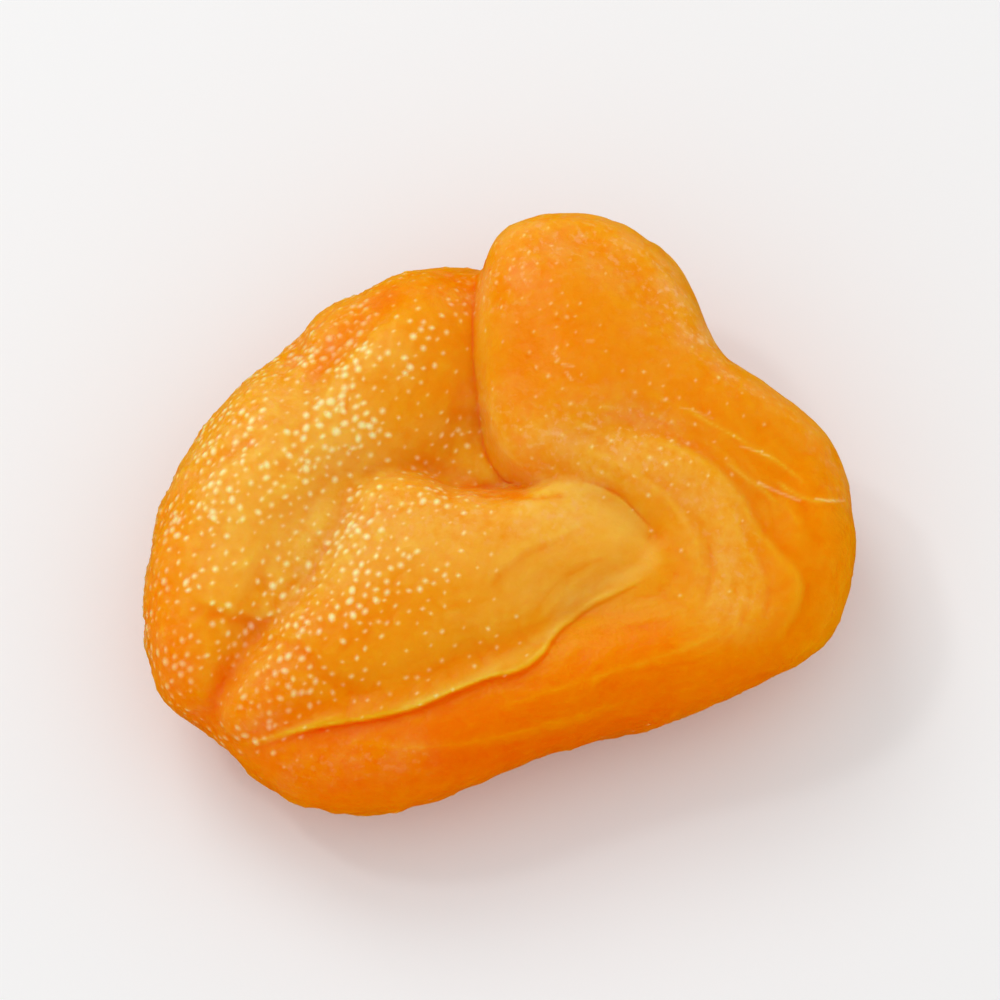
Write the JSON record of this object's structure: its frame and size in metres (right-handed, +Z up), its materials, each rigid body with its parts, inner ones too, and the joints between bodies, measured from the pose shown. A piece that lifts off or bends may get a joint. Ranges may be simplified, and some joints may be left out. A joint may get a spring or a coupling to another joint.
{
  "type": "dried apricot",
  "caption": "Whole pitted dried apricot, folded flat into thick rolls round a sunken middle, lying on its back.",
  "frame": {"origin": "on the resting surface, under the middle of the fruit's outline", "axes": "+Z up, +X along the fruit's long side, +Y from the front roll towards the tall flap"},
  "size_m": [0.037, 0.0316, 0.013],
  "materials": {
    "apricot_flesh": "satin"
  },
  "bodies": {
    "root": {"dried_apricot": "apricot_flesh"}
  },
  "joints": []
}
